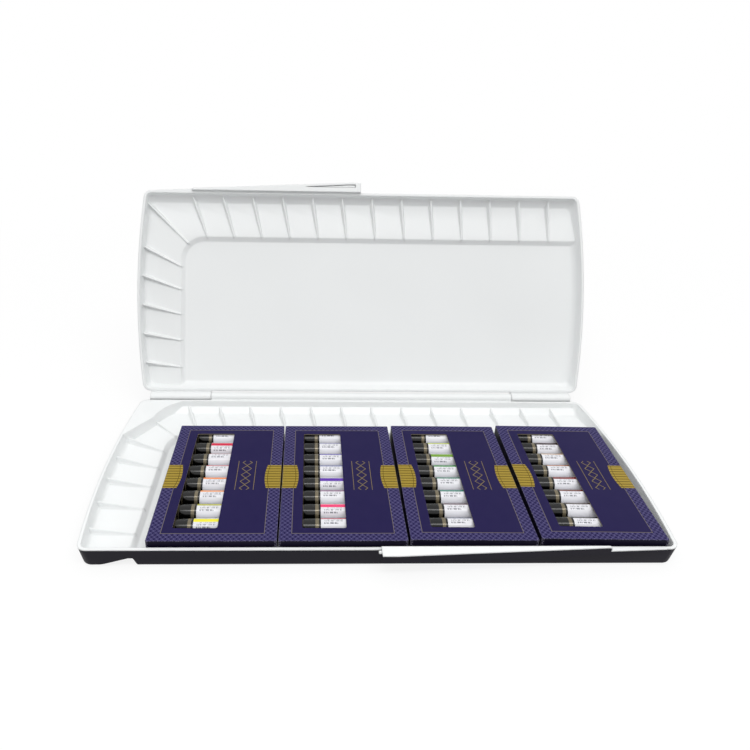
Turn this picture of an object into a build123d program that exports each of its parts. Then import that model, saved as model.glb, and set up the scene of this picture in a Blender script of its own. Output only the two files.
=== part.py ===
"""Watercolour palette set: a flat folding palette box with four cartons of tube paint lying in it.

The box has two like halves on a long hinge. Each half is a dark outer shell with a white tray set in it, and each
tray has a row of paint wells, a column of paint wells and a broad mixing floor. The cartons lie on the mixing floor
of the lower half. Millimetres, +Z up, front towards -Y. The origin is the middle of the lower half's flat underside.
"""
from build123d import *
from math import atan, cos, pi, radians, sin, sqrt, tan
import os

# Cartons of tubes
carton_count = 4
carton_width = 97.3
carton_length = 149.4
carton_height = 16.3
carton_gaps = [1.3, 1.9, 2.8]           # along the front, between one carton and the next
carton_turns = [0.0, 0.0, -0.6, -1.2]   # degrees that each carton lies out of square
carton_seat = 0.2           # under a carton, over the mixing floor
card = 0.9                  # thickness of the cover's card
tray_card = 0.8             # thickness of the carton tray's card
cover_fit = 0.3             # all round between a carton's cover and its tray
cover_lift = 0.9            # the tray's card that shows below the cover
window_left = 17.5          # window in the cover, from the carton's left edge
window_width = 34.0
window_margin = 13.4        # from the window to the carton's front and back edges
window_corner = 1.5
cover_corner = 0.8          # rounding of the cover's upright edges
cover_edge = 0.4            # and of its top edges

# Paint tubes, eight to a carton
tube_count = 8
tube_pitch = 16.5
tube_shift = 6.0            # how far the tubes lie towards a carton's back
tube_radius = 6.75
tube_low = 0.55             # under a tube, over the carton tray's floor
tube_start = 15.4           # shoulder, from the carton's left edge
tube_round = 34.0           # stretch that stays round
tube_length = 76.6          # shoulder to the crimp's end
shoulder_length = 1.8
shoulder_fall = 0.5         # how much the shoulder narrows
neck_radius = 3.2
neck_length = 6.0
crimp_width = 19.4
crimp_thickness = 1.6
crimp_length = 6.0
tube_waist = 0.6            # halfway to the crimp, a tube is this much of its mean thickness there
crimp_tilt = 41.0           # degrees; neighbouring crimps lie like shingles
cap_radius = 5.4
cap_length = 11.0
cap_plain = 1.2             # its rounded end, without flutes
cap_round = 0.7
cap_flutes = 24
flute_deep = 0.25
cap_hollow_end = 0.3        # past the neck's end
cap_gap = 0.1               # between a cap's mouth and the shoulder
thread_fit = 0.15
cradle_height = 4.6         # insert under the tubes
cradle_fit = 0.25
cradle_side = 0.2           # between the insert and the carton tray
cover_rest = 0.2            # between the tray's edge and the cover's top

# Wells and mixing floor of a tray
rim_width = 2.5
column_width = 33.5         # column of wells, from the rim to its lip at the corners
row_width = 43.3            # row of wells, from the rim to its lip
column_slope = 4.0          # width of the slope from the lip down to the mixing floor
row_slope = 4.7
carton_room_left = 10.0     # mixing floor left of the first carton
carton_room_right = 4.45
carton_room_front = 0.6
carton_room_back = 1.3
carton_turn_room = 0.9      # more room behind them, as they lie out of square
carton_proud = 4.5          # how far the cartons stand above the rim
closing_clearance = 0.9     # between the cartons and the lid's ribs, besides the rim gap
rib_fall = 1.2              # a rib's top falls this much from the wall to the lip
rib_nose = 1.4              # a rib's height over the lip
well_floor_rise = 1.0       # the wells' floor at the wall, over the mixing floor
lip_corner = 24.0           # plan radius of the lip where row and column meet
rib_top = 1.7               # rib thickness at its top
rib_foot = 2.6              # rib thickness at its foot
rib_fillet = 1.2
rib_top_share = 0.8         # where a rib is low, its top is this much of its height over the fillets, doubled
row_ribs = 13
row_first = 45.0            # first rib of the row, from the left rim
row_last = 27.6             # last well of the row
row_lean = 15.6             # how far the first rib leans from wall to lip
row_lean_ratio = 0.8        # each next rib leans this much of the one before
column_ribs = 5
column_first = 54.0         # first rib of the column, from the row's rim
column_last = 26.6
column_lean = 20.4
column_lean_ratio = 0.7
well_fillet = 3.0
lip_round = 1.2
lip_land = 1.4              # level width of the lip
nose_out = 1.9              # a rib's nose, past the lip
nose_fall = 1.2             # and how far it falls there
rib_into_wall = 1.0
rib_sunk = 1.5              # a rib's foot, below the ground it stands on
well_fall_past = 4.0        # the wells' ground runs on this far under the wall
beyond = 20.0               # how far the shapes that cut the tray run on outside it
cut_past = 1.0              # how far a smaller cut runs on past what it cuts
curve_steps = 4             # flats in a wall's hollow curve

# Shells and walls
side_bulge = 7.0            # how far each end bows out past its corners
case_corner = 8.0           # plan radius of the corners
shell_wall = 1.2
base_floor = 2.75
lid_floor = 1.5
tray_floor = 2.5
flange = 0.8                # the tray's edge over the top of the shell's wall
tray_gap = 0.1              # between shell wall and tray wall
side_draft = 2.5            # how far the outside leans in, from rim to ground
front_draft = 1.0
foot_radius = 3.2           # outside rounding along the ground
wall_upper_draft = 1.2      # a tray's wall above the ribs leans in this much
wall_side_draft = 2.0       # and in all at the ends
wall_well_draft = 8.0       # in all behind the row of wells
base_front_draft = 1.2      # in all at the lower half's front wall
lid_back_draft = 4.0        # in all at the upper half's hinge wall
base_floor_fillet = 1.0
lid_floor_fillet = 6.0
slope_fillet = 2.0

# Hinge
hinge_offset = 6.0          # axis, behind the rim's back edge
rim_gap = 0.3               # between the two rims when closed
barrel_radius = 4.5
knuckle_length = 62.0
knuckle_inset = 7.5         # from a corner to the knuckle's outer end
knuckle_gap = 0.4
web_drop = 3.5              # the hinge's web, from the rim down
web_top = 0.3
web_sunk = 0.5              # the web's end, inside the tray's wall
web_gap_walls = 4           # the gap for it runs in this many walls' thickness
pin_radius = 1.5
pin_seat = 16.0             # pin inside the middle barrel
pin_recess = 1.0
pin_fit = 0.05
lid_open = 116.0            # degrees from closed

# Opening tabs and latch
tab_middle = 2.2            # the two tabs meet this far left of the middle
tab_gap = 1.35              # from there to each tab's end
tab_length = 174.0
tab_flat = 12.0             # stretch of full depth at the thick end
tab_deep = 10.0
tab_thin = 2.0
tab_flare = 10.0            # the flare ends this far from the corner
tab_flare_end = 0.25        # and stands out this much there
tab_height = 3.5            # past the rim
tab_under = 3.6             # below the rim
tab_clear = 0.3             # between a tab and the other half's rim
tab_end_round = 2.2
slot_length = 51.0
slot_end = 5.5              # from the slot to the tab's thick end
slot_inner = 4.9            # from the rim to the slot
slot_outer = 2.0            # from the slot to the tab's edge
slot_tip = 0.4              # the slot's width where it dies out
slot_deep = 0.6             # it stays within the white cap
latch_radius = 1.25
latch_reach = 2.3
latch_seat = 5.0
latch_up = 1.2              # above the rim
latch_out = 4.0             # in front of the rim
latch_round = 1.0           # at the nub's tip
dimple_radius = 1.8
dimple_deep = 0.6

# Thumb rest in the lower tray's back left corner, and the finger notch under the front left corner
rest_side = 56.5            # from the case's corner along the left end
rest_back = 44.0            # and along the back
rest_knee = 18.2            # how far its knee stands in from the left end
rest_knee_back = 32.0       # and from the back
rest_bow = 5.0
rest_draft = 3.0
rest_in_rim = 0.5           # how far it runs into the rim
notch_start = 11.0          # from the left corner
notch_length = 33.0
notch_steep = 3.5           # length of its steep end
notch_top = 2.6             # length of its level top
notch_height = 8.7
notch_deep = 15.0
notch_wall = 1.2
notch_round = 1.5           # where its top meets the steep end

# What follows from these
mixing_depth = carton_height + carton_seat - carton_proud
rib_drop = carton_proud + closing_clearance
lip_drop = rib_drop + rib_fall + rib_nose
well_drop = mixing_depth - well_floor_rise
corner_width = (2 * rim_width + column_width + column_slope + carton_room_left + carton_room_right
                + carton_count * carton_width + sum(carton_gaps))
case_depth = (2 * rim_width + row_width + row_slope + base_front_draft
              + carton_length + carton_room_front + carton_room_back + carton_turn_room)
half_width = corner_width / 2
half_depth = case_depth / 2
base_rim = mixing_depth + tray_floor + base_floor
lid_rim_drop = mixing_depth + tray_floor + lid_floor
axis_y = half_depth + hinge_offset
axis_z = base_rim + rim_gap / 2
lip_x = -half_width + rim_width + column_width
lip_y = half_depth - rim_width - row_width
floor_x = lip_x + column_slope
floor_y = lip_y - row_slope
barrel_half = half_width - knuckle_inset - knuckle_length - knuckle_gap


def outline(left, right, front, back, bow, corner):
    """A plan face with straight long edges, bowed ends and rounded corners."""
    middle = (front + back) / 2
    edges = [
        Line((left, front), (right, front)),
        ThreePointArc((right, front), (right + bow, middle), (right, back)),
        Line((right, back), (left, back)),
        ThreePointArc((left, back), (left - bow, middle), (left, front)),
    ]
    face = make_face(edges)
    return fillet(face.vertices(), corner)


def case_outline(side, front, corner):
    """The case's plan, drawn in by side at the ends and by front along the long edges."""
    x = half_width - side
    y = half_depth - front
    return outline(-x, x, -y, y, side_bulge, corner)


def stack(sections):
    """A solid with straight walls between plan faces at given heights."""
    return loft([Pos(0, 0, z) * face for z, face in sections], ruled=True)


def prism(points, low, high):
    """An upright prism on a polygon."""
    return extrude(Pos(0, 0, low) * make_face(Polyline(*points, close=True)), high - low)


def case_solid(drop, wall, floor, radius):
    """The outside of a half, or with a wall and floor the space within it. The rim is at zero."""
    def section(depth):
        share = depth / drop
        return case_outline(wall + side_draft * share, wall + front_draft * share, case_corner - wall)
    solid = stack([(-drop + floor, section(drop - floor)), (0, section(0))])
    return fillet(solid.edges().group_by(Axis.Z)[0], radius)


def mixing_space():
    """The room over the mixing floor, with its slope up to the lip. It runs out past the plain walls."""
    far_x = half_width + beyond
    far_y = -half_depth - beyond

    def area(x, y, corner):
        points = [(x, far_y), (far_x, far_y), (far_x, y), (x, y)]
        face = make_face(Polyline(*points, close=True))
        return fillet(face.vertices().sort_by(Axis.X)[:2].sort_by(Axis.Y)[-1], corner)

    solid = stack([
        (-mixing_depth, area(floor_x, floor_y, lip_corner - column_slope)),
        (-lip_drop, area(lip_x, lip_y, lip_corner)),
        (rim_gap, area(lip_x, lip_y, lip_corner)),
    ])
    toe = [edge for edge in solid.edges().group_by(Axis.Z)[0]
           if edge.center().X < half_width and edge.center().Y > -half_depth]
    return fillet(toe, slope_fillet)


def well_block():
    """The raised ground of the wells: level along the lip, then falling gently to the walls."""
    outer_y = half_depth - rim_width - wall_well_draft
    outer_x = -half_width + rim_width + wall_side_draft - side_bulge
    fall = (well_drop - lip_drop) / (outer_y - lip_y - lip_land)
    low = -well_drop - fall * well_fall_past
    far_x = half_width + beyond
    far_y = -half_depth - beyond

    def area(x, y):
        points = [(x, far_y), (far_x, far_y), (far_x, y), (x, y)]
        return make_face(Polyline(*points, close=True))

    wide = area(outer_x - well_fall_past, outer_y + well_fall_past)
    lip = area(lip_x - lip_land, lip_y + lip_land)
    return stack([(-mixing_depth - cut_past, wide), (low, wide), (-lip_drop, lip)])


def rib_section(place, height, foot, fillet_radius):
    """A rib's section, upright across its run, with a round top and hollow fillets at the foot."""
    top = min(rib_top, 2 * (height - fillet_radius) * rib_top_share)
    half_foot = foot / 2
    side = half_foot + fillet_radius
    edges = [
        Line((-side, -rib_sunk), (side, -rib_sunk)),
        Line((side, -rib_sunk), (side, 0)),
        RadiusArc((side, 0), (half_foot, fillet_radius), -fillet_radius),
        Line((half_foot, fillet_radius), (top / 2, height - top / 2)),
        ThreePointArc((top / 2, height - top / 2), (0, height), (-top / 2, height - top / 2)),
        Line((-top / 2, height - top / 2), (-half_foot, fillet_radius)),
        RadiusArc((-half_foot, fillet_radius), (-side, 0), -fillet_radius),
        Line((-side, 0), (-side, -rib_sunk)),
    ]
    return place * make_face(edges)


def rib(outer, inner):
    """A rib between two wells, from a point in the wall to a point on the lip, with a nose down the slope."""
    start = Vector(outer[0], outer[1], -well_drop)
    end = Vector(inner[0], inner[1], -lip_drop)
    along = Vector(end.X - start.X, end.Y - start.Y, 0)
    length = along.length
    along = along / length
    across = Vector(along.Y, -along.X, 0)
    nose = end + along * nose_out + Vector(0, 0, -rib_nose - nose_fall)

    def place(point):
        return Plane(origin=point, x_dir=across, z_dir=across.cross(Vector(0, 0, 1))).location

    rise = well_drop - rib_drop
    sections = [
        rib_section(place(start), rise, rib_foot, rib_fillet),
        rib_section(place(end), rib_nose, rib_top, rib_nose / 3),
        rib_section(place(nose), rib_nose, rib_top, rib_nose / 3),
    ]
    return loft(sections, ruled=True)


def bow_at(y):
    """How far the case's ends bow out past their corners at y."""
    radius = (half_depth ** 2 + side_bulge ** 2) / (2 * side_bulge)
    return sqrt(radius ** 2 - y ** 2) - radius + side_bulge


def ribs():
    """Every rib of a tray: along the row, down the column and the long one in the corner."""
    found = []
    wall_y = half_depth - rim_width - wall_upper_draft + rib_into_wall
    first = -half_width + rim_width + row_first
    last = half_width - rim_width - row_last
    for index in range(row_ribs):
        x = first + index * (last - first) / (row_ribs - 1)
        lean = row_lean * row_lean_ratio ** index
        found.append(rib((x, wall_y), (x + lean, lip_y)))
    first = half_depth - rim_width - column_first
    last = -half_depth + rim_width + column_last
    for index in range(column_ribs):
        y = first + index * (last - first) / (column_ribs - 1)
        lean = column_lean * column_lean_ratio ** index
        wall_x = -half_width + rim_width + wall_side_draft * rib_drop / mixing_depth - bow_at(y) - rib_into_wall
        found.append(rib((wall_x, y), (lip_x, y - lean)))
    inward = lip_corner * (1 - sqrt(0.5))
    corner = (lip_x + inward, lip_y - inward)
    wall_x = -half_width + rim_width - 2 * rib_into_wall
    found.append(rib((wall_x, corner[1] + (corner[0] - wall_x)), corner))
    return found


def wall_lean(depth, upper, total, bottom, radius):
    """How far a tray's wall has leaned in at a depth. It leans by upper down to the ribs' tops and by total down to
    the bottom, which it meets in a hollow curve."""
    slope = (total - upper) / (bottom - rib_drop)
    if depth <= rib_drop:
        return upper * depth / rib_drop
    angle = atan(slope)
    along = radius * tan((pi / 2 - angle) / 2)
    if depth < bottom - along * cos(angle):
        return upper + slope * (depth - rib_drop)
    if depth > bottom:
        return total + along + (depth - bottom)
    return total + along - sqrt(radius ** 2 - (depth - bottom + radius) ** 2)


def curve_depths(upper, total, bottom, radius):
    """The depths at which a wall's hollow curve is drawn."""
    angle = atan((total - upper) / (bottom - rib_drop))
    turns = [angle + (pi / 2 - angle) * step / curve_steps for step in range(curve_steps + 1)]
    return [bottom - radius * (1 - sin(turn)) for turn in turns]


def tray_space(front_draft, floor_fillet):
    """The open room in a tray, from its rim down to its floor and wells. The rim is at zero."""
    share = rib_drop / mixing_depth
    front = (front_draft * share, front_draft, mixing_depth, floor_fillet)
    right = (wall_side_draft * share, wall_side_draft, mixing_depth, floor_fillet)
    left = (wall_side_draft * share, wall_side_draft, well_drop, well_fillet)
    back = (wall_upper_draft, wall_well_draft, well_drop, well_fillet)
    depths = {0.0, rib_drop}
    for wall in (front, right, left, back):
        depths.update(round(depth, 3) for depth in curve_depths(*wall))
    sections = []
    for depth in sorted(depths, reverse=True):
        plan = outline(
            -half_width + rim_width + wall_lean(depth, *left),
            half_width - rim_width - wall_lean(depth, *right),
            -half_depth + rim_width + wall_lean(depth, *front),
            half_depth - rim_width - wall_lean(depth, *back),
            side_bulge,
            case_corner - rim_width,
        )
        sections.append((-depth, plan))
    cavity = stack(sections)
    space = (cavity - well_block()) + (cavity & mixing_space())
    space = fillet([edge for edge in space.edges() if on_lip(edge)], lip_round)
    for one in ribs():
        space = space - one
    return space


def on_lip(edge):
    """Whether an edge is the lip's, at the top of the slope down to the mixing floor."""
    box = edge.bounding_box()
    level = abs(box.min.Z + lip_drop) < 0.01 and abs(box.max.Z + lip_drop) < 0.01
    middle = edge @ 0.5
    beside = abs(middle.X - lip_x) < 0.01 or abs(middle.Y - lip_y) < 0.01
    centre = Vector(lip_x + lip_corner, lip_y - lip_corner, -lip_drop)
    return level and (beside or abs((middle - centre).length - lip_corner) < 0.01)


def tab_out(x, meet):
    """How far a tab stands out in front of the rim at x, if the tabs meet at a given x."""
    thick = meet + tab_gap + tab_flat
    thin = meet + tab_gap + tab_length
    if x <= thick:
        return tab_deep
    if x <= thin:
        return tab_deep + (tab_thin - tab_deep) * (x - thick) / (thin - thick)
    share = (half_width - tab_flare - x) / (half_width - tab_flare - thin)
    return tab_flare_end + (tab_thin - tab_flare_end) * share


def tab_plan(start, end, inner, meet):
    """The plan of a tab, or of a stretch of it, on the lower half's front right. Inner is its edge by the rim."""
    bends = (meet + tab_gap + tab_flat, meet + tab_gap + tab_length)
    marks = [start] + [x for x in bends if start < x < end] + [end]
    edge = [(x, -half_depth - tab_out(x, meet)) for x in marks]
    return edge + [(end, -half_depth - inner), (start, -half_depth - inner)]


def rounded_end(solid, radius):
    """A tab's raised part with the top of its thin end rounded over."""
    ends = solid.edges().filter_by(Axis.Y)
    thin = ends.group_by(Axis.X)[-1]
    return fillet(thin.sort_by(Axis.Z)[-1], radius)


def tab(meet):
    """The lower half's tab: the dark core, which is part of the shell, and the white cap, part of the tray."""
    start = meet + tab_gap
    end = start + tab_length
    flare_end = half_width - tab_flare
    in_wall = -shell_wall / 2
    shelf = prism(tab_plan(start, flare_end, in_wall, meet), -tab_under, -flange)
    ledge = prism(tab_plan(start, flare_end, in_wall, meet), -flange, 0)
    raised = prism(tab_plan(start, end, tab_clear, meet), -flange, tab_height)
    raised = rounded_end(raised, tab_end_round)
    inside = prism(tab_plan(start, end - flange, tab_clear + flange, meet), -flange, tab_height - flange)
    inside = rounded_end(inside, tab_end_round - flange)
    core = shelf + inside
    cap = (ledge + raised) - inside
    return core, cap


def slot(meet):
    """The long tapering slot in the upper half's tab, drawn where the lower half's tab would have it."""
    start = meet + tab_gap + slot_end
    end = start + slot_length
    thick = meet + tab_gap + tab_flat
    points = [
        (start, -half_depth - slot_inner),
        (start, -half_depth - tab_out(start, meet) + slot_outer),
        (thick, -half_depth - tab_out(thick, meet) + slot_outer),
        (end, -half_depth - slot_inner - slot_tip),
        (end, -half_depth - slot_inner),
    ]
    return prism(points, tab_height - slot_deep, tab_height + cut_past)


def notch(grown):
    """The finger notch's room under the lower half's front left corner, grown on all sides by a wall. Ground is at
    zero."""
    left = -half_width + notch_start
    right = left + notch_length
    level = right - notch_steep
    front = -half_depth
    top = notch_height + grown
    side = [
        (left - grown, -cut_past), (left - grown, grown), (level - notch_top, top), (level, top),
        (right + grown, grown), (right + grown, -cut_past),
    ]
    across = [
        (front - cut_past, -cut_past), (front - cut_past, top + cut_past), (front, top),
        (front + notch_deep + grown, grown), (front + notch_deep + grown, -cut_past),
    ]
    arch = make_face(Polyline(*side, close=True))
    arch = fillet(arch.vertices().sort_by(Axis.Y)[-2:].sort_by(Axis.X)[-1], notch_round)
    along_y = extrude(Plane.XZ * arch, case_depth, both=True)
    along_x = extrude(Plane.YZ * make_face(Polyline(*across, close=True)), corner_width, both=True)
    return along_y & along_x


def thumb_rest():
    """The level corner of the lower tray, filled up to the rim, with walls that lean out to the wells."""
    def plan(out):
        shift = out * sqrt(0.5)
        slope = (rest_side - rest_knee_back) / rest_knee
        side = (-half_width - beyond, half_depth - rest_side - shift - beyond * slope)
        knee = (-half_width + rest_knee + shift, half_depth - rest_knee_back - shift)
        end = (-half_width + rest_back + shift, half_depth - rim_width + rest_in_rim)
        middle = ((knee[0] + end[0]) / 2 - rest_bow * sqrt(0.5), (knee[1] + end[1]) / 2 + rest_bow * sqrt(0.5))
        corner = (-half_width - beyond, half_depth + beyond)
        edges = [
            Line(side, knee),
            ThreePointArc(knee, middle, end),
            Line(end, (end[0], half_depth + beyond)),
            Line((end[0], half_depth + beyond), corner),
            Line(corner, side),
        ]
        return make_face(edges)
    return stack([(-mixing_depth - cut_past, plan(rest_draft)), (0, plan(0))])


def round_bar(x_from, x_to, y, z, radius):
    """A bar along X."""
    face = Plane(origin=(x_from, y, z), x_dir=(0, 1, 0), z_dir=(1, 0, 0)) * Circle(radius)
    return extrude(face, x_to - x_from)


def block(low, high):
    """A block between two corners."""
    size = [b - a for a, b in zip(low, high)]
    return Pos(*low) * Box(*size, align=(Align.MIN, Align.MIN, Align.MIN))


def knuckles(side, spans):
    """Hinge barrels with their webs over given spans of X. Side is 1 where the hinge is behind the row of wells."""
    y = side * (half_depth + hinge_offset)
    near = side * (half_depth - shell_wall - tray_gap - web_sunk)
    found = None
    for x_from, x_to in spans:
        barrel = round_bar(x_from, x_to, y, rim_gap / 2, barrel_radius)
        web = block((x_from, min(near, y), -web_drop), (x_to, max(near, y), -web_top))
        found = barrel + web if found is None else found + barrel + web
    return found


def web_gaps(side, spans):
    """The gaps in a shell's wall that the hinge's webs pass through."""
    near = side * (half_depth - web_gap_walls * shell_wall)
    far = side * (half_depth + cut_past)
    found = None
    for x_from, x_to in spans:
        low = (x_from - tray_gap, min(near, far), -web_drop - tray_gap)
        gap = block(low, (x_to + tray_gap, max(near, far), cut_past))
        found = gap if found is None else found + gap
    return found


middle_span = [(-barrel_half, barrel_half)]
knuckle_out = half_width - knuckle_inset
end_spans = [(-knuckle_out, -knuckle_out + knuckle_length), (knuckle_out - knuckle_length, knuckle_out)]
turned = Rot(0, 0, 180)


def make_shell(drop, floor, side, spans, tab_core, with_notch):
    """An outer shell: floor and wall, the dark core of its tab, and gaps for the hinge's webs."""
    outer = case_solid(drop, 0, 0, foot_radius)
    far_x = half_width + beyond
    far_y = half_depth + beyond
    over = block((-far_x, -far_y, -flange), (far_x, far_y, beyond))
    inner = case_solid(drop, shell_wall, floor, foot_radius - shell_wall)
    outer = (outer - over) + tab_core
    if with_notch:
        outer = outer - Pos(0, 0, -drop) * notch(0)
        inner = inner - Pos(0, 0, -drop) * notch(notch_wall)
    return outer - inner - web_gaps(side, spans)


def make_tray(drop, floor, side, spans, tab_cap, front_draft, floor_fillet, with_rests):
    """A white tray: pan, rim over the shell's wall, wells, the cap of its tab and its share of the hinge."""
    pan = case_solid(drop, shell_wall + tray_gap, floor, foot_radius - shell_wall)
    rim = extrude(Pos(0, 0, -flange) * case_outline(0, 0, case_corner), flange)
    space = tray_space(front_draft, floor_fillet)
    if with_rests:
        space = space - thumb_rest() - Pos(0, 0, -drop) * notch(2 * notch_wall + tray_gap)
        pan = pan - Pos(0, 0, -drop) * notch(notch_wall + tray_gap / 2)
    return (pan + rim + tab_cap) - space + knuckles(side, spans)


# Lower half
to_base = Pos(0, 0, base_rim)
core, cap = tab(-tab_middle)
base_shell = make_shell(base_rim, base_floor, 1, middle_span, core, True)
base_tray = make_tray(base_rim, base_floor, 1, middle_span, cap, base_front_draft, base_floor_fillet, True)
latch_y = -half_depth - latch_out
latch_x = tab_gap - tab_middle
base_shell = base_shell - round_bar(latch_x - cut_past, latch_x + latch_seat, latch_y, latch_up, latch_radius)
pin_in = barrel_half - pin_seat
for sign in (-1, 1):
    ends = sorted((sign * pin_in, sign * (barrel_half + cut_past)))
    base_tray = base_tray - round_bar(*ends, half_depth + hinge_offset, rim_gap / 2, pin_radius)
base_shell = to_base * base_shell
base_tray = to_base * base_tray
latch_pin = to_base * round_bar(latch_x - latch_reach, latch_x + latch_seat, latch_y, latch_up, latch_radius)
latch_pin = fillet(latch_pin.edges().sort_by(Axis.X)[0], latch_round)

# Upper half, made rim up like the lower one, then turned over onto it and opened about the hinge
core, cap = tab(tab_middle)
lid_shell = make_shell(lid_rim_drop, lid_floor, -1, end_spans, turned * core, False)
lid_tray = make_tray(lid_rim_drop, lid_floor, -1, end_spans, turned * cap, lid_back_draft, lid_floor_fillet, False)
lid_tray = lid_tray - turned * slot(tab_middle)
dimple = Pos(-tab_middle - tab_gap, -latch_y, rim_gap - latch_up) * Sphere(dimple_radius)
lid_shell = lid_shell - Pos(dimple_radius - dimple_deep, 0, 0) * dimple
for x_from, x_to in end_spans:
    ends = (x_from - cut_past, x_to + cut_past)
    lid_tray = lid_tray - round_bar(*ends, -half_depth - hinge_offset, rim_gap / 2, pin_radius + pin_fit)
closed = Pos(0, 0, base_rim + rim_gap) * Rot(180, 0, 0)
opened = Pos(0, axis_y, axis_z) * Rot(-lid_open, 0, 0) * Pos(0, -axis_y, -axis_z) * closed
lid_shell = opened * lid_shell
lid_tray = opened * lid_tray

# Hinge pins, pressed into the middle barrel and turning in the outer ones
pin_out = knuckle_out - pin_recess
hinge_pin_left = round_bar(-pin_out, -pin_in, axis_y, axis_z, pin_radius)
hinge_pin_right = round_bar(pin_in, pin_out, axis_y, axis_z, pin_radius)


def tube_rows():
    """The tubes' places across a carton, from its front."""
    first = (carton_length - (tube_count - 1) * tube_pitch) / 2 + tube_shift
    return [first + index * tube_pitch for index in range(tube_count)]


def carton_cover():
    """A carton's cover, a card lid with a window. The carton's front left bottom corner is at zero."""
    outer = block((0, 0, cover_lift), (carton_width, carton_length, carton_height))
    outer = fillet(outer.edges().filter_by(Axis.Z), cover_corner)
    outer = fillet(outer.faces().sort_by(Axis.Z)[-1].edges(), cover_edge)
    inner = block((card, card, 0), (carton_width - card, carton_length - card, carton_height - card))
    window = block((window_left, window_margin, 0),
                   (window_left + window_width, carton_length - window_margin, carton_height + cut_past))
    window = fillet(window.edges().filter_by(Axis.Z), window_corner)
    return outer - inner - window


def carton_tray():
    """The card tray under a carton's cover."""
    side = card + cover_fit
    inside = side + tray_card
    top = carton_height - card - cover_rest
    outer = block((side, side, 0), (carton_width - side, carton_length - side, top))
    inner = block((inside, inside, tray_card), (carton_width - inside, carton_length - inside, top + cut_past))
    return outer - inner


def carton_insert():
    """The dark cradle that the tubes' round ends lie in."""
    side = card + cover_fit + tray_card + cradle_side
    end = tube_start + tube_round
    solid = block((side, side, tray_card), (end, carton_length - side, tray_card + cradle_height))
    for y in tube_rows():
        solid = solid - round_bar(side - cut_past, end + cut_past, y, tube_height, tube_radius + cradle_fit)
    return solid


def tube():
    """A paint tube without its cap, its axis along X and its shoulder at zero."""
    profile = [
        (-neck_length, 0), (-neck_length, neck_radius), (0, neck_radius), (0, tube_radius - shoulder_fall),
        (shoulder_length, tube_radius), (tube_round, tube_radius), (tube_round, 0),
    ]
    body = revolve(make_face(Polyline(*profile, close=True)), Axis.X)
    tilt = radians(crimp_tilt)
    across = (0, cos(tilt), sin(tilt))

    def section(x, half_wide, half_thick):
        return Plane(origin=(x, 0, 0), x_dir=across, z_dir=(1, 0, 0)) * Ellipse(half_wide, half_thick)

    flat = tube_length - crimp_length
    middle = (tube_round + flat) / 2
    half_wide = crimp_width / 2
    half_thick = crimp_thickness / 2
    body = body + loft([
        Plane(origin=(tube_round, 0, 0), x_dir=across, z_dir=(1, 0, 0)) * Circle(tube_radius),
        section(middle, (tube_radius + half_wide) / 2, (tube_radius + half_thick) * tube_waist),
        section(flat, half_wide, half_thick),
    ])
    crimp = Plane(origin=(flat, 0, 0), x_dir=across, z_dir=(1, 0, 0)) * Rectangle(crimp_width, crimp_thickness)
    return body + extrude(crimp, crimp_length)


def cap_of_tube():
    """A tube's fluted cap, its mouth just short of the shoulder at zero."""
    points = []
    for index in range(cap_flutes):
        for share, radius in ((0, cap_radius), (0.5, cap_radius - flute_deep)):
            turn = 2 * pi * (index + share) / cap_flutes
            points.append((radius * cos(turn), radius * sin(turn)))
    end = -cap_gap - cap_length
    across = Plane(origin=(end + cap_plain, 0, 0), x_dir=(0, 1, 0), z_dir=(1, 0, 0))
    fluted = extrude(across * make_face(Polyline(*points, close=True)), cap_length - cap_plain)
    plain = round_bar(end, end + cap_plain, 0, 0, cap_radius - 2 * flute_deep)
    plain = fillet(plain.edges().sort_by(Axis.X)[0], cap_round)
    hollow = round_bar(-neck_length - cap_hollow_end, 0, 0, 0, neck_radius + thread_fit)
    return (fluted + plain) - hollow


tube_height = tray_card + tube_low + tube_radius
carton_places = []
left = floor_x + carton_room_left
front = -half_depth + rim_width + base_front_draft + carton_room_front
for index in range(carton_count):
    pivot = Pos(left + carton_width, front, base_rim - mixing_depth + carton_seat)
    carton_places.append(pivot * Rot(0, 0, carton_turns[index]) * Pos(-carton_width, 0, 0))
    left += carton_width + (carton_gaps + [0])[index]

parts = {
    "base_shell": base_shell,
    "base_tray": base_tray,
    "latch_pin": latch_pin,
    "lid_shell": lid_shell,
    "lid_tray": lid_tray,
    "hinge_pin_left": hinge_pin_left,
    "hinge_pin_right": hinge_pin_right,
}
one_cover = carton_cover()
one_tray = carton_tray()
one_insert = carton_insert()
one_tube = tube()
one_cap = cap_of_tube()
for number, place in enumerate(carton_places, 1):
    spots = [place * Pos(tube_start, y, tube_height) for y in tube_rows()]
    parts[f"carton_{number}_cover"] = place * one_cover
    parts[f"carton_{number}_tray"] = place * one_tray
    parts[f"carton_{number}_insert"] = place * one_insert
    parts[f"carton_{number}_tubes"] = Compound([spot * one_tube for spot in spots])
    parts[f"carton_{number}_caps"] = Compound([spot * one_cap for spot in spots])

os.makedirs("parts", exist_ok=True)
for name, solid in parts.items():
    export_step(solid, f"parts/{name}.step")
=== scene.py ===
"""Watercolour palette set: a folding palette box, open, with four cartons of tube paint lying in its lower half."""
import bmesh
import bpy
from math import atan2, copysign, degrees, pi, radians
from mathutils import Matrix, Vector


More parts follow.
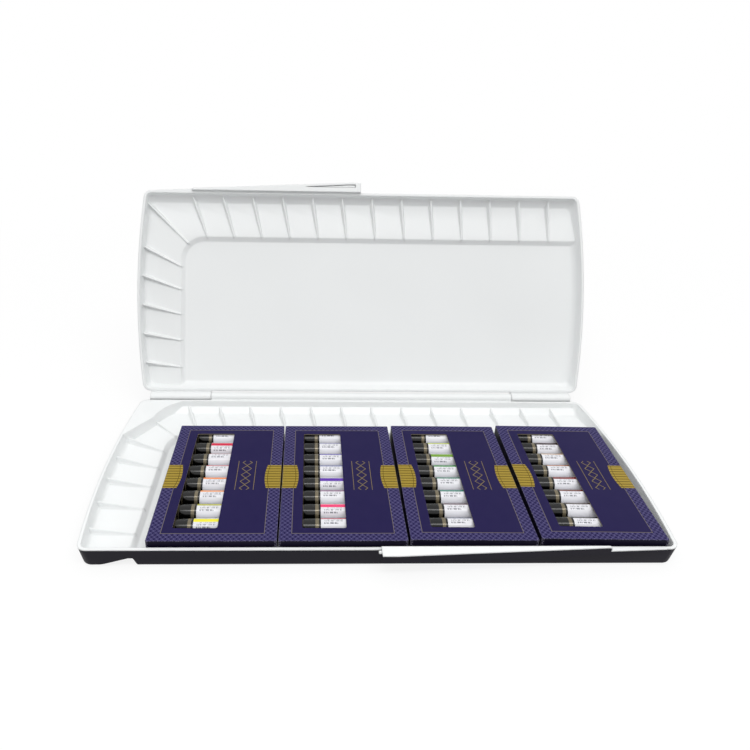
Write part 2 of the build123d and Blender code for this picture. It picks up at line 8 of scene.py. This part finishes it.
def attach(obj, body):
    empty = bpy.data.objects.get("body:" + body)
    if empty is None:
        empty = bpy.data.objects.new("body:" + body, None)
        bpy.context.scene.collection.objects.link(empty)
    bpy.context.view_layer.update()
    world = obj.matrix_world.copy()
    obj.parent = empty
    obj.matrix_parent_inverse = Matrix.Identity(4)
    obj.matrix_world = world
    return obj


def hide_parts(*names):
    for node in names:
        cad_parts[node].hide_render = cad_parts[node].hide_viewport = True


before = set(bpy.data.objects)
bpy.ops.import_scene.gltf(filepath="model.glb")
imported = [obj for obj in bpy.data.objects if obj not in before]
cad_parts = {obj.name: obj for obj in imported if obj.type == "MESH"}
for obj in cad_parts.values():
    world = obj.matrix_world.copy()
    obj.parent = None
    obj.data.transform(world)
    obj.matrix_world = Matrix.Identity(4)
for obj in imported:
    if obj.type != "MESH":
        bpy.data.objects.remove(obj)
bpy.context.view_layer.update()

# Camera
# A short lens held in front of the box and looking down into it, turned and tipped as in the photograph. The shift
# stands for a picture that was cropped off centre.
picture_width = 750
camera_place = Vector((-0.05593, -0.45014, 0.36714))
camera_pitch = radians(26.973)
camera_yaw = radians(2.091)
camera_roll = radians(1.418)
focal_pixels = 630.385
centre_pixel = (329.51, 341.82)
camera_data = bpy.data.cameras.new("camera")
camera_data.sensor_width = 36
camera_data.lens = camera_data.sensor_width * focal_pixels / picture_width
camera_data.shift_x = 0.5 - centre_pixel[0] / picture_width
camera_data.shift_y = centre_pixel[1] / picture_width - 0.5
camera_data.clip_start = 0.01
camera = bpy.data.objects.new("camera", camera_data)
bpy.context.scene.collection.objects.link(camera)
camera.matrix_world = (Matrix.Translation(camera_place) @ Matrix.Rotation(-camera_yaw, 4, "Z")
                       @ Matrix.Rotation(pi / 2 - camera_pitch, 4, "X") @ Matrix.Rotation(camera_roll, 4, "Z"))
bpy.context.scene.camera = camera
bpy.context.scene.view_settings.view_transform = "Standard"


# Studio
# A white table under a soft dome that is brighter overhead than at the sides, a long soft box above the front edge
# and a broad lamp at the right. The camera, metal and gloss see the surround and the table as plain white, and near
# the box the table keeps a trace of its shadow. All else sees the table as grey, so that faces turned down stay grey.
def linear(colour):
    """A colour written as sRGB hex, in the linear values that shaders take."""
    parts = [int(colour[index:index + 2], 16) / 255 for index in (1, 3, 5)]
    return [part / 12.92 if part <= 0.04045 else ((part + 0.055) / 1.055) ** 2.4 for part in parts] + [1.0]


def add(tree, kind, inputs=None, **settings):
    """One shader node. Inputs gives each socket a value or another node's output; the rest are its settings."""
    node = tree.nodes.new(kind)
    for name, value in settings.items():
        setattr(node, name, value)
    for socket, value in (inputs or {}).items():
        if isinstance(value, bpy.types.NodeSocket):
            tree.links.new(value, node.inputs[socket])
        else:
            node.inputs[socket].default_value = value
    return node


def new_material(name):
    """An empty material's node tree and its surface socket."""
    material = bpy.data.materials.new(name)
    material.use_nodes = True
    tree = material.node_tree
    tree.nodes.clear()
    output = tree.nodes.new("ShaderNodeOutputMaterial")
    return material, tree, output.inputs["Surface"]


room_low = 0.25
room_high = 1.06
world = bpy.data.worlds.new("studio")
bpy.context.scene.world = world
world.use_nodes = True
tree = world.node_tree
tree.nodes.clear()
heading = add(tree, "ShaderNodeSeparateXYZ", {0: add(tree, "ShaderNodeTexCoord").outputs["Generated"]})
dome = add(tree, "ShaderNodeMapRange", {0: heading.outputs[2], 1: 0.0, 2: 1.0, 3: room_low, 4: room_high})
rays = add(tree, "ShaderNodeLightPath")
seen = rays.outputs["Is Camera Ray"]
for kind in ("Is Glossy Ray", "Is Transmission Ray"):
    seen = add(tree, "ShaderNodeMath", {0: seen, 1: rays.outputs[kind]}, operation="MAXIMUM").outputs[0]
level = add(tree, "ShaderNodeMix", {0: seen, 2: dome.outputs[0], 3: 1.0})
sky = add(tree, "ShaderNodeBackground", {0: linear("#ffffff"), 1: level.outputs[0]})
surround = tree.nodes.new("ShaderNodeOutputWorld")
tree.links.new(sky.outputs[0], surround.inputs["Surface"])

lamp_aim = Vector((0, 0.05, 0.05))
lamps = [
    ("key", (0.02, -0.55, 1.35), (1.6, 0.3), 8.1),
    ("fill", (0.9, -0.9, 0.8), (0.8, 0.8), 0.6),
]
for name, place, size, power in lamps:
    lamp_data = bpy.data.lights.new(name, "AREA")
    lamp_data.shape = "RECTANGLE"
    lamp_data.size, lamp_data.size_y = size
    lamp_data.energy = power
    lamp = bpy.data.objects.new(name, lamp_data)
    bpy.context.scene.collection.objects.link(lamp)
    heading = lamp_aim - Vector(place)
    lamp.matrix_world = Matrix.Translation(place) @ heading.to_track_quat("-Z", "Y").to_matrix().to_4x4()

table_half = 4.0
shadow_near = 0.35
shadow_far = 1.0
shadow_share = 0.15
mesh = bpy.data.meshes.new("table")
form = bmesh.new()
bmesh.ops.create_grid(form, x_segments=1, y_segments=1, size=table_half)
form.to_mesh(mesh)
form.free()
table = bpy.data.objects.new("table", mesh)
bpy.context.scene.collection.objects.link(table)
material, tree, surface = new_material("white_table")
paint = add(tree, "ShaderNodeBsdfDiffuse", {"Color": linear("#ffffff")})
cloth = add(tree, "ShaderNodeBsdfDiffuse", {"Color": linear("#c0c0c0")})
glow = add(tree, "ShaderNodeEmission", {"Color": linear("#ffffff"), "Strength": 1.0})
place = add(tree, "ShaderNodeTexCoord").outputs["Object"]
away = add(tree, "ShaderNodeVectorMath", {0: place}, operation="LENGTH")
plain = add(tree, "ShaderNodeMapRange", {
    0: away.outputs["Value"], 1: shadow_near, 2: shadow_far, 3: 1.0 - shadow_share, 4: 1.0})
bright = add(tree, "ShaderNodeMixShader", {0: plain.outputs[0], 1: paint.outputs[0], 2: glow.outputs[0]})
rays = add(tree, "ShaderNodeLightPath")
seen = add(tree, "ShaderNodeMath", {0: rays.outputs["Is Camera Ray"], 1: rays.outputs["Is Glossy Ray"]},
           operation="MAXIMUM")
both = add(tree, "ShaderNodeMixShader", {0: seen.outputs[0], 1: cloth.outputs[0], 2: bright.outputs[0]})
tree.links.new(both.outputs[0], surface)
mesh.materials.append(material)


# Outer shells
# Two shallow injection-moulded ABS shells, almost black with a navy cast and a fine satin texture from the mould,
# which is drawn coarser than it is so that it shows. The cores of the opening tabs belong to them.
merge_reach = 0.000005
smooth_edge = radians(32)


def moulded_copy(node, material):
    """A CAD node's mesh with its corners joined and its curves smooth, standing in the node's place."""
    form = bmesh.new()
    form.from_mesh(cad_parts[node].data)
    bmesh.ops.remove_doubles(form, verts=form.verts, dist=merge_reach)
    for face in form.faces:
        face.smooth = True
    for edge in form.edges:
        edge.smooth = len(edge.link_faces) == 2 and edge.calc_face_angle(0) < smooth_edge
    mesh = bpy.data.meshes.new(node + "_look")
    form.to_mesh(mesh)
    form.free()
    mesh.materials.append(material)
    piece = bpy.data.objects.new(node + "_look", mesh)
    bpy.context.scene.collection.objects.link(piece)
    return piece


shell_texture = 0.0008
material, tree, surface = new_material("satin_abs_shell")
place = add(tree, "ShaderNodeTexCoord").outputs["Object"]
grain = add(tree, "ShaderNodeTexNoise", {"Vector": place, "Scale": 1 / shell_texture, "Detail": 3.0})
rough = add(tree, "ShaderNodeMapRange", {0: grain.outputs[0], 3: 0.42, 4: 0.56})
bump = add(tree, "ShaderNodeBump", {"Height": grain.outputs[0], "Strength": 0.12, "Distance": 0.0002})
shade = add(tree, "ShaderNodeTexNoise", {"Vector": place, "Scale": 12.0, "Detail": 2.0})
tint = add(tree, "ShaderNodeMix", {
    0: shade.outputs[0], 6: linear("#17151e"), 7: linear("#1c1a24")}, data_type="RGBA")
plastic = add(tree, "ShaderNodeBsdfPrincipled", {
    "Base Color": tint.outputs[2], "Roughness": rough.outputs[0], "Normal": bump.outputs[0], "IOR": 1.53,
    "Specular IOR Level": 0.12})
tree.links.new(plastic.outputs[0], surface)
satin_abs = material
for node, body in (("base_shell", "base"), ("lid_shell", "lid")):
    piece = moulded_copy(node, satin_abs)
    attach(piece, body)
    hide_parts(node)

# White trays
# Polished white ABS trays that fit into the shells, each with a narrow rim, a row and a column of wells parted by
# soft ribs, and a broad mixing floor. The mould's polish leaves a half gloss with the faintest waviness, and rounds
# every corner a little.
corner_round = 0.0015
material, tree, surface = new_material("polished_white_abs")
place = add(tree, "ShaderNodeTexCoord").outputs["Object"]
wave = add(tree, "ShaderNodeTexNoise", {"Vector": place, "Scale": 60.0, "Detail": 2.0})
rough = add(tree, "ShaderNodeMapRange", {0: wave.outputs[0], 3: 0.26, 4: 0.34})
soft = add(tree, "ShaderNodeBevel", {"Radius": corner_round}, samples=6)
bump = add(tree, "ShaderNodeBump", {
    "Height": wave.outputs[0], "Strength": 0.04, "Distance": 0.001, "Normal": soft.outputs[0]})
shade = add(tree, "ShaderNodeTexNoise", {"Vector": place, "Scale": 9.0, "Detail": 1.0})
tint = add(tree, "ShaderNodeMix", {
    0: shade.outputs[0], 6: linear("#eceeee"), 7: linear("#f2f4f4")}, data_type="RGBA")
plastic = add(tree, "ShaderNodeBsdfPrincipled", {
    "Base Color": tint.outputs[2], "Roughness": rough.outputs[0], "Normal": bump.outputs[0], "IOR": 1.5})
tree.links.new(plastic.outputs[0], surface)
white_abs = material
for node, body in (("base_tray", "base"), ("lid_tray", "lid"), ("latch_pin", "base")):
    piece = moulded_copy(node, white_abs)
    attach(piece, body)
    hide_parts(node)

# Hinge pins
# Two lengths of drawn steel wire, pressed into the middle barrel. Their ends show, bright, in the outer barrels.
material, tree, surface = new_material("drawn_steel_wire")
place = add(tree, "ShaderNodeTexCoord").outputs["Object"]
along = add(tree, "ShaderNodeMapping", {"Vector": place, "Scale": (40.0, 2500.0, 2500.0)})
draw = add(tree, "ShaderNodeTexNoise", {"Vector": along.outputs[0], "Scale": 1.0, "Detail": 2.0})
rough = add(tree, "ShaderNodeMapRange", {0: draw.outputs[0], 3: 0.25, 4: 0.4})
steel = add(tree, "ShaderNodeBsdfPrincipled", {
    "Base Color": linear("#b9b9bb"), "Metallic": 1.0, "Roughness": rough.outputs[0]})
tree.links.new(steel.outputs[0], surface)
for node in ("hinge_pin_left", "hinge_pin_right"):
    piece = moulded_copy(node, material)
    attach(piece, "base")
    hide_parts(node)

# Carton covers
# Card lids of the four cartons, printed deep violet with a lavender lattice border, a fine keyline and blocks of gold
# foil, under a matt laminate. They were printed flat, cut and folded, so the print runs on over the edges. The walls
# below the top are painted near black, as painted shade.
carton_wide = 97.3
carton_long = 149.4
carton_high = 16.3
carton_corners = [
    (-176.075, -98.9, 5.45, 0.0), (-77.475, -98.9, 5.45, 0.0), (21.7303, -97.8811, 5.45, -0.6),
    (121.8463, -96.8623, 5.45, -1.2),
]
skin = 0.45
facing = 0.3


def into_carton(number):
    """The matrix from the frame's metres to millimetres from a carton's front left bottom corner."""
    x, y, z, turn = carton_corners[number - 1]
    place = Matrix.Translation((x / 1000, y / 1000, z / 1000)) @ Matrix.Rotation(radians(turn), 4, "Z")
    return Matrix.Scale(1000, 4) @ place.inverted()


def printed_side(normal, spot):
    """Whether a face of the cover is on its printed outside."""
    if normal.z > facing and spot.z > carton_high - skin:
        return True
    return ((normal.x < -facing and spot.x < skin) or (normal.x > facing and spot.x > carton_wide - skin)
            or (normal.y < -facing and spot.y < skin) or (normal.y > facing and spot.y > carton_long - skin))


def lay_print(mesh, number):
    """Unfolds a cover onto its flat sheet, in millimetres from its top's front left corner, and marks its board."""
    matrix = into_carton(number)
    form = bmesh.new()
    form.from_mesh(mesh)
    sheet = form.loops.layers.uv.new("print")
    for face in form.faces:
        normal = (matrix.to_3x3() @ face.normal).normalized()
        face.material_index = 0 if printed_side(normal, matrix @ face.calc_center_median()) else 1
        for loop in face.loops:
            spot = matrix @ loop.vert.co
            down = carton_high - spot.z
            if abs(normal.x) > abs(normal.y):
                loop[sheet].uv = (spot.x + copysign(down, normal.x), spot.y)
            else:
                loop[sheet].uv = (spot.x, spot.y + copysign(down, normal.y))
    form.to_mesh(mesh)
    form.free()


border_side = 9.7
border_end = 7.75
keyline = 0.5
lattice_pitch = 4.2
lattice_ring = 0.46
lattice_line = 0.26
foil_half = 15.0
foil_reach = 13.7
foil_bow = 0.008
foil_pitch = 3.33
foil_rib = 0.4
foil_arc = 2.4
foil_arc_line = 0.22
figure_place = (67.5, 76.5)
figure_half = 19.0
figure_side = 7.6
figure_rule = 0.2
figure_step = 4.2
figure_line = 0.35
fold_rubbed = (0.1, 0.8)
fold_wear = 0.55
corner_rubbed = (0.3, 2.2)
material, tree, surface = new_material("printed_matt_laminated_card")
sheet = add(tree, "ShaderNodeUVMap", uv_map="print").outputs[0]
spot = add(tree, "ShaderNodeSeparateXYZ", {0: sheet})
from_middle = add(tree, "ShaderNodeMath", {0: spot.outputs[0], 1: carton_wide / 2}, operation="SUBTRACT")
off = add(tree, "ShaderNodeMath", {0: from_middle.outputs[0]}, operation="ABSOLUTE")
side = add(tree, "ShaderNodeMath", {0: carton_wide / 2, 1: off.outputs[0]}, operation="SUBTRACT").outputs[0]
across = add(tree, "ShaderNodeMath", {0: spot.outputs[1], 1: carton_long / 2}, operation="SUBTRACT").outputs[0]
far = add(tree, "ShaderNodeMath", {0: across}, operation="ABSOLUTE")
end = add(tree, "ShaderNodeMath", {0: carton_long / 2, 1: far.outputs[0]}, operation="SUBTRACT").outputs[0]
over_side = add(tree, "ShaderNodeMath", {0: border_side, 1: side}, operation="SUBTRACT")
over_end = add(tree, "ShaderNodeMath", {0: border_end, 1: end}, operation="SUBTRACT")
over = add(tree, "ShaderNodeMath", {0: over_side.outputs[0], 1: over_end.outputs[0]}, operation="MAXIMUM").outputs[0]
border = add(tree, "ShaderNodeMath", {0: over, 1: 0.0}, operation="GREATER_THAN")
line = add(tree, "ShaderNodeMath", {0: over, 1: 0.0, 2: keyline / 2}, operation="COMPARE")
rings = []
for shift in (0.0, 0.5):
    cells = add(tree, "ShaderNodeMapping", {
        "Vector": sheet, "Location": (shift, shift, 0.0), "Scale": (1 / lattice_pitch, 1 / lattice_pitch, 1.0)})
    cell = add(tree, "ShaderNodeVectorMath", {0: cells.outputs[0]}, operation="FRACTION")
    centred = add(tree, "ShaderNodeVectorMath", {0: cell.outputs[0], 1: (0.5, 0.5, 0.0)}, operation="SUBTRACT")
    reach = add(tree, "ShaderNodeVectorMath", {0: centred.outputs[0]}, operation="LENGTH")
    rings.append(add(tree, "ShaderNodeMath", {
        0: reach.outputs["Value"], 1: lattice_ring, 2: lattice_line / 2 / lattice_pitch},
        operation="COMPARE").outputs[0])
lattice = add(tree, "ShaderNodeMath", {0: rings[0], 1: rings[1]}, operation="MAXIMUM")
bordered = add(tree, "ShaderNodeMath", {0: lattice.outputs[0], 1: border.outputs[0]}, operation="MULTIPLY")
square = add(tree, "ShaderNodeMath", {0: across, 1: across}, operation="MULTIPLY")
bowed = add(tree, "ShaderNodeMath", {0: square.outputs[0], 1: foil_bow, 2: side}, operation="MULTIPLY_ADD").outputs[0]
in_reach = add(tree, "ShaderNodeMath", {0: bowed, 1: foil_reach}, operation="LESS_THAN")
in_length = add(tree, "ShaderNodeMath", {0: far.outputs[0], 1: foil_half}, operation="LESS_THAN")
foil = add(tree, "ShaderNodeMath", {0: in_reach.outputs[0], 1: in_length.outputs[0]}, operation="MULTIPLY").outputs[0]
ribs = add(tree, "ShaderNodeMath", {0: across, 1: foil_pitch / 2}, operation="PINGPONG")
rib = add(tree, "ShaderNodeMath", {0: ribs.outputs[0], 1: 0.0, 2: foil_rib}, operation="COMPARE")
arc = add(tree, "ShaderNodeMath", {0: bowed, 1: foil_reach - foil_arc, 2: foil_arc_line}, operation="COMPARE")
pressed = add(tree, "ShaderNodeMath", {0: rib.outputs[0], 1: arc.outputs[0]}, operation="MAXIMUM")
figure_x = add(tree, "ShaderNodeMath", {0: spot.outputs[0], 1: figure_place[0]}, operation="SUBTRACT")
figure_off = add(tree, "ShaderNodeMath", {0: figure_x.outputs[0]}, operation="ABSOLUTE").outputs[0]
figure_y = add(tree, "ShaderNodeMath", {0: spot.outputs[1], 1: figure_place[1]}, operation="SUBTRACT").outputs[0]
figure_far = add(tree, "ShaderNodeMath", {0: figure_y}, operation="ABSOLUTE")
rule = add(tree, "ShaderNodeMath", {0: figure_off, 1: figure_side, 2: figure_rule}, operation="COMPARE")
steps = add(tree, "ShaderNodeMath", {0: figure_y, 1: figure_step}, operation="PINGPONG")
slanted = add(tree, "ShaderNodeMath", {0: figure_off, 1: steps.outputs[0]}, operation="ADD")
crossed = add(tree, "ShaderNodeMath", {
    0: slanted.outputs[0], 1: figure_step - figure_rule, 2: figure_line}, operation="COMPARE")
figure = add(tree, "ShaderNodeMath", {0: rule.outputs[0], 1: crossed.outputs[0]}, operation="MAXIMUM")
in_figure = add(tree, "ShaderNodeMath", {0: figure_far.outputs[0], 1: figure_half}, operation="LESS_THAN")
figure = add(tree, "ShaderNodeMath", {0: figure.outputs[0], 1: in_figure.outputs[0]}, operation="MULTIPLY")
fleck = add(tree, "ShaderNodeTexNoise", {"Vector": sheet, "Scale": 0.9, "Detail": 3.0})
mottle = add(tree, "ShaderNodeTexNoise", {"Vector": sheet, "Scale": 0.06, "Detail": 2.0})
fold_side = add(tree, "ShaderNodeMath", {0: side}, operation="ABSOLUTE")
fold_end = add(tree, "ShaderNodeMath", {0: end}, operation="ABSOLUTE")
fold = add(tree, "ShaderNodeMath", {0: fold_side.outputs[0], 1: fold_end.outputs[0]}, operation="MINIMUM")
near_fold = add(tree, "ShaderNodeMapRange", {
    0: fold.outputs[0], 1: fold_rubbed[0], 2: fold_rubbed[1], 3: fold_wear, 4: 0.0})
corner = add(tree, "ShaderNodeMath", {0: side, 1: end}, operation="MAXIMUM")
near_corner = add(tree, "ShaderNodeMapRange", {
    0: corner.outputs[0], 1: corner_rubbed[0], 2: corner_rubbed[1], 3: 1.0, 4: 0.0})
rubbed = add(tree, "ShaderNodeMath", {0: near_fold.outputs[0], 1: near_corner.outputs[0]}, operation="MAXIMUM")
worn = add(tree, "ShaderNodeMapRange", {0: fleck.outputs[0], 1: 0.5, 2: 0.62})
wear = add(tree, "ShaderNodeMath", {0: rubbed.outputs[0], 1: worn.outputs[0]}, operation="MULTIPLY")
ink = add(tree, "ShaderNodeMix", {
    0: mottle.outputs[0], 6: linear("#1b1544"), 7: linear("#211a48")}, data_type="RGBA")
for mask, colour in ((bordered, "#5a5582"), (line, "#6d6560"), (figure, "#8a7a4a")):
    ink = add(tree, "ShaderNodeMix", {0: mask.outputs[0], 6: ink.outputs[2], 7: linear(colour)}, data_type="RGBA")
gold = add(tree, "ShaderNodeMix", {
    0: pressed.outputs[0], 6: linear("#a8903a"), 7: linear("#584712")}, data_type="RGBA")
ink = add(tree, "ShaderNodeMix", {0: foil, 6: ink.outputs[2], 7: gold.outputs[2]}, data_type="RGBA")
# Painted shade: every face past the top's folds, that is each wall, is painted near black for the shade that falls on
# it.
nearest = add(tree, "ShaderNodeMath", {0: side, 1: end}, operation="MINIMUM")
painted_wall_shade = add(tree, "ShaderNodeMath", {0: nearest.outputs[0], 1: 0.0}, operation="LESS_THAN")
ink = add(tree, "ShaderNodeMix", {0: painted_wall_shade.outputs[0], 6: ink.outputs[2], 7: linear("#120e22")}, data_type="RGBA")
ink = add(tree, "ShaderNodeMix", {0: wear.outputs[0], 6: ink.outputs[2], 7: linear("#9a96ac")}, data_type="RGBA")
rough = add(tree, "ShaderNodeMapRange", {0: foil, 3: 0.5, 4: 0.38})
metal = add(tree, "ShaderNodeMapRange", {0: foil, 3: 0.0, 4: 0.55})
raised = add(tree, "ShaderNodeMath", {0: fleck.outputs[0], 1: 0.15}, operation="MULTIPLY")
sunk = add(tree, "ShaderNodeMath", {0: pressed.outputs[0], 1: foil}, operation="MULTIPLY")
height = add(tree, "ShaderNodeMath", {0: raised.outputs[0], 1: sunk.outputs[0]}, operation="SUBTRACT")
bump = add(tree, "ShaderNodeBump", {"Height": height.outputs[0], "Strength": 0.3, "Distance": 0.0001})
card = add(tree, "ShaderNodeBsdfPrincipled", {
    "Base Color": ink.outputs[2], "Roughness": rough.outputs[0], "Metallic": metal.outputs[0],
    "Normal": bump.outputs[0], "IOR": 1.45, "Specular IOR Level": 0.12})
tree.links.new(card.outputs[0], surface)
printed_card = material
material, tree, surface = new_material("grey_card_board")
place = add(tree, "ShaderNodeTexCoord").outputs["Object"]
pulp = add(tree, "ShaderNodeTexNoise", {"Vector": place, "Scale": 900.0, "Detail": 3.0})
tint = add(tree, "ShaderNodeMix", {
    0: pulp.outputs[0], 6: linear("#6f6757"), 7: linear("#8d8473")}, data_type="RGBA")
board = add(tree, "ShaderNodeBsdfPrincipled", {"Base Color": tint.outputs[2], "Roughness": 0.85, "IOR": 1.45})
tree.links.new(board.outputs[0], surface)
grey_board = material
for number in (1, 2, 3, 4):
    piece = moulded_copy(f"carton_{number}_cover", printed_card)
    piece.data.materials.append(grey_board)
    lay_print(piece.data, number)
    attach(piece, f"carton_{number}")
    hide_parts(f"carton_{number}_cover")

# Carton trays and inserts
# Under each cover lies a card tray in the same violet, unprinted, and in it a black card cradle with a groove for
# each tube. Both are matt, with the faint fleck of pressed pulp.
for node, name, slot, dark, light in (
    ("tray", "violet_card", "printed_card", "#211c40", "#282348"),
    ("insert", "black_card", "black_card", "#0d0d0f", "#161618"),
):
    material, tree, surface = new_material(name)
    place = add(tree, "ShaderNodeTexCoord").outputs["Object"]
    pulp = add(tree, "ShaderNodeTexNoise", {"Vector": place, "Scale": 700.0, "Detail": 3.0})
    tint = add(tree, "ShaderNodeMix", {0: pulp.outputs[0], 6: linear(dark), 7: linear(light)}, data_type="RGBA")
    bump = add(tree, "ShaderNodeBump", {"Height": pulp.outputs[0], "Strength": 0.2, "Distance": 0.0001})
    board = add(tree, "ShaderNodeBsdfPrincipled", {
        "Base Color": tint.outputs[2], "Roughness": 0.75, "Normal": bump.outputs[0], "IOR": 1.45,
        "Specular IOR Level": 0.12})
    tree.links.new(board.outputs[0], surface)
    for number in (1, 2, 3, 4):
        piece = moulded_copy(f"carton_{number}_{node}", material)
        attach(piece, f"carton_{number}")
        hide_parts(f"carton_{number}_{node}")

# Paint tubes
# Soft aluminium tubes, lacquered gloss black by the cap with two gold rings, and white over the rest with a band in
# the colour of the paint and rows of fine grey dashes. The closed end is bare metal, pressed flat.
tube_row = 22.95
tube_pitch = 16.5
tube_axis = 8.1
label_start = 32.0
label_end = 84.0
wide_ring_middle = 29.0
wide_ring_half = 1.35
thin_ring_middle = 17.8
thin_ring_half = 0.45
thin_ring_strength = 0.4
band_middle = 95.0
band_half = 17.0
dash_rows = [(72.0, 1.8, 37.0, 50.0), (58.0, 5.0, 34.5, 49.0), (40.0, 5.5, 34.5, 46.0)]
paints = [
    [("#efe632", 2), ("#b4b43c", 18), ("#ee9a62", 17), ("#ee8434", 15), ("#cf6a70", 24), ("#d0505a", 34),
     ("#cf1740", -4), ("#b01030", 24)],
    [("#c01f45", 30), ("#ee3470", 2), ("#8a3a7a", 24), ("#5a24a8", -4), ("#5f68a8", 22), ("#5a4fae", 20),
     ("#6a68a0", 24), ("#3a3a78", 30)],
    [("#3a4a70", 30), ("#5a3a48", 22), ("#2f8070", 17), ("#2a7a62", 18), ("#2f8a3c", 14), ("#6f9c28", -4),
     ("#b9c75a", 16), ("#5a7a30", 26)],
    [("#2a2a30", 24), ("#4a3a38", 20), ("#6a2a20", 16), ("#7a1f1c", 10), ("#a05a2a", 22), ("#c08a3a", 24),
     ("#300a10", 8), ("#7a1020", 14)],
]


def lay_label(mesh, number):
    """Unrolls each tube's skin, in millimetres along and degrees round from its front, and gives it its paint."""
    matrix = into_carton(number)
    form = bmesh.new()
    form.from_mesh(mesh)
    label = form.loops.layers.uv.new("label")
    paint = form.loops.layers.float_color.new("paint")
    for face in form.faces:
        middle = matrix @ face.calc_center_median()
        row = min(max(round((middle.y - tube_row) / tube_pitch), 0), len(paints[number - 1]) - 1)
        colour, roll = paints[number - 1][row]
        shade = linear(colour)
        axis_y = tube_row + row * tube_pitch
        turn_there = degrees(atan2(middle.z - tube_axis, axis_y - middle.y))
        for loop in face.loops:
            spot = matrix @ loop.vert.co
            turn = degrees(atan2(spot.z - tube_axis, axis_y - spot.y))
            if turn - turn_there > 180:
                turn -= 360
            elif turn_there - turn > 180:
                turn += 360
            loop[label].uv = (spot.x, turn - roll)
            loop[paint] = shade
    form.to_mesh(mesh)
    form.free()


material, tree, surface = new_material("lacquered_tube_print")
skin_place = add(tree, "ShaderNodeUVMap", uv_map="label").outputs[0]
spot = add(tree, "ShaderNodeSeparateXYZ", {0: skin_place})
along = spot.outputs[0]
turn = spot.outputs[1]
white = add(tree, "ShaderNodeMath", {0: along, 1: label_start}, operation="GREATER_THAN").outputs[0]
bare = add(tree, "ShaderNodeMath", {0: along, 1: label_end}, operation="GREATER_THAN").outputs[0]
wide_ring = add(tree, "ShaderNodeMath", {0: along, 1: wide_ring_middle, 2: wide_ring_half}, operation="COMPARE")
thin_ring = add(tree, "ShaderNodeMath", {0: along, 1: thin_ring_middle, 2: thin_ring_half}, operation="COMPARE")
faint = add(tree, "ShaderNodeMath", {0: thin_ring.outputs[0], 1: thin_ring_strength}, operation="MULTIPLY")
ring = add(tree, "ShaderNodeMath", {0: wide_ring.outputs[0], 1: faint.outputs[0]}, operation="MAXIMUM").outputs[0]
band = add(tree, "ShaderNodeMath", {0: turn, 1: band_middle, 2: band_half}, operation="COMPARE")
drawn_out = add(tree, "ShaderNodeMapping", {"Vector": skin_place, "Scale": (1.0, 0.03, 1.0)})
broken = add(tree, "ShaderNodeTexNoise", {"Vector": drawn_out.outputs[0], "Scale": 1.1, "Detail": 1.0})
strokes = add(tree, "ShaderNodeMapRange", {0: broken.outputs[0], 1: 0.46, 2: 0.54})
marks = None
for middle, half, start, stop in dash_rows:
    line = add(tree, "ShaderNodeMath", {0: turn, 1: middle, 2: half}, operation="COMPARE")
    extent = add(tree, "ShaderNodeMath", {
        0: along, 1: (start + stop) / 2, 2: (stop - start) / 2}, operation="COMPARE")
    both = add(tree, "ShaderNodeMath", {0: line.outputs[0], 1: extent.outputs[0]}, operation="MULTIPLY")
    marks = both if marks is None else add(
        tree, "ShaderNodeMath", {0: marks.outputs[0], 1: both.outputs[0]}, operation="MAXIMUM")
dashes = add(tree, "ShaderNodeMath", {0: marks.outputs[0], 1: strokes.outputs[0]}, operation="MULTIPLY")
paint = add(tree, "ShaderNodeAttribute", attribute_name="paint").outputs["Color"]
label = add(tree, "ShaderNodeMix", {
    0: dashes.outputs[0], 6: linear("#e4e4e9"), 7: linear("#85868d")}, data_type="RGBA")
label = add(tree, "ShaderNodeMix", {0: band.outputs[0], 6: label.outputs[2], 7: paint}, data_type="RGBA")
tint = add(tree, "ShaderNodeMix", {0: white, 6: linear("#020202"), 7: label.outputs[2]}, data_type="RGBA")
tint = add(tree, "ShaderNodeMix", {0: ring, 6: tint.outputs[2], 7: linear("#756c58")}, data_type="RGBA")
tint = add(tree, "ShaderNodeMix", {0: bare, 6: tint.outputs[2], 7: linear("#c4c5c8")}, data_type="RGBA")
metal = add(tree, "ShaderNodeMath", {0: ring, 1: 0.3}, operation="MULTIPLY")
metal = add(tree, "ShaderNodeMath", {0: metal.outputs[0], 1: bare}, operation="MAXIMUM")
place = add(tree, "ShaderNodeTexCoord").outputs["Object"]
crinkle = add(tree, "ShaderNodeTexNoise", {"Vector": place, "Scale": 160.0})
rough = add(tree, "ShaderNodeMapRange", {0: crinkle.outputs[0], 3: 0.12, 4: 0.2})
bump = add(tree, "ShaderNodeBump", {"Height": crinkle.outputs[0], "Strength": 0.06, "Distance": 0.001})
lacquer = add(tree, "ShaderNodeBsdfPrincipled", {
    "Base Color": tint.outputs[2], "Metallic": metal.outputs[0], "Roughness": rough.outputs[0],
    "Normal": bump.outputs[0], "IOR": 1.5, "Specular IOR Level": 0.45})
tree.links.new(lacquer.outputs[0], surface)
for number in (1, 2, 3, 4):
    piece = moulded_copy(f"carton_{number}_tubes", material)
    lay_label(piece.data, number)
    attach(piece, f"carton_{number}")
    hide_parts(f"carton_{number}_tubes")

# Tube caps
# Screw caps moulded in gloss black plastic, fluted for grip, one on each tube. The sharp flutes catch thin lines of
# light.
material, tree, surface = new_material("gloss_black_plastic")
place = add(tree, "ShaderNodeTexCoord").outputs["Object"]
haze = add(tree, "ShaderNodeTexNoise", {"Vector": place, "Scale": 500.0, "Detail": 2.0})
rough = add(tree, "ShaderNodeMapRange", {0: haze.outputs[0], 3: 0.18, 4: 0.3})
tint = add(tree, "ShaderNodeMix", {
    0: haze.outputs[0], 6: linear("#080808"), 7: linear("#0e0e0e")}, data_type="RGBA")
plastic = add(tree, "ShaderNodeBsdfPrincipled", {
    "Base Color": tint.outputs[2], "Roughness": rough.outputs[0], "IOR": 1.49, "Specular IOR Level": 0.45})
tree.links.new(plastic.outputs[0], surface)
for number in (1, 2, 3, 4):
    piece = moulded_copy(f"carton_{number}_caps", material)
    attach(piece, f"carton_{number}")
    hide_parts(f"carton_{number}_caps")
